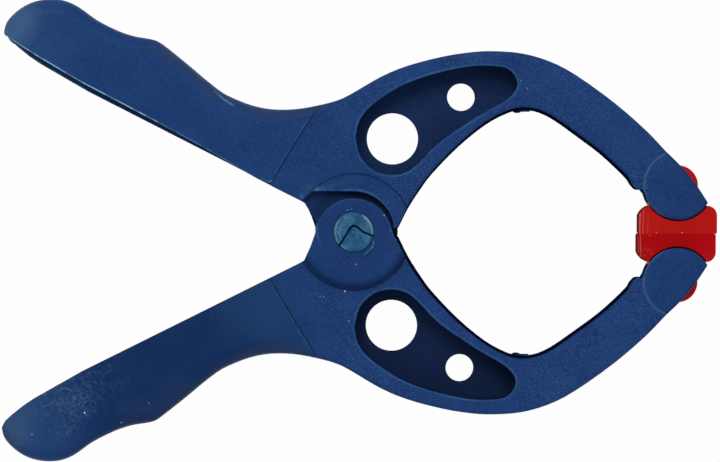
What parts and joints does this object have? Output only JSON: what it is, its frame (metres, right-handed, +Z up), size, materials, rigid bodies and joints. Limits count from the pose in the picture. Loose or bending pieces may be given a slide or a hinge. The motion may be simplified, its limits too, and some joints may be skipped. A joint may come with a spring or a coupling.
{
  "type": "spring clamp",
  "caption": "Plastic hand clamp: two sprung handles on a hinge pin close curved jaws with swivelling pads; the arms have pockets and hanging holes.",
  "frame": {"origin": "middle of the footprint on the surface that the clamp lies on", "axes": "+X from the hinge towards the jaws, +Y across the closed jaws towards the upper arm, +Z up along the hinge axis"},
  "size_m": [0.1592, 0.1032, 0.024],
  "materials": {
    "arm_plastic": "fine moulded grain, deep blue",
    "pin_plastic": "stress-whitened teal blue",
    "pad_plastic": "smooth moulded red",
    "spring_steel": "drawn wire"
  },
  "bodies": {
    "lower_arm": {"lower_arm": "arm_plastic", "hinge_pin": "pin_plastic", "torsion_spring": "spring_steel"},
    "upper_arm": {"upper_arm": "arm_plastic"},
    "lower_pad": {"lower_jaw_pad": "pad_plastic"},
    "upper_pad": {"upper_jaw_pad": "pad_plastic"}
  },
  "joints": [
    {"name": "jaw_opening", "type": "hinge", "parent": "lower_arm", "child": "upper_arm", "pos_m": [-0.00139, 0, 0.012], "axis": [0, 0, 1], "range_deg": [0, 42], "stiffness_Nm_per_rad": 1.2, "springref_deg": -34.38, "deforming": ["torsion_spring"]},
    {"name": "upper_pad_swivel", "type": "hinge", "parent": "upper_arm", "child": "upper_pad", "pos_m": [0.07091, 0.0108, 0.012], "axis": [0, 0, 1], "range_deg": [-21.5, 0]},
    {"name": "lower_pad_swivel", "type": "hinge", "parent": "lower_arm", "child": "lower_pad", "pos_m": [0.07091, -0.0108, 0.012], "axis": [0, 0, 1], "range_deg": [0, 21.5]}
  ],
  "couplings": [
    {"joint": "upper_pad_swivel", "follows": "jaw_opening", "ratio": -0.5},
    {"joint": "lower_pad_swivel", "follows": "jaw_opening", "ratio": 0.5}
  ]
}
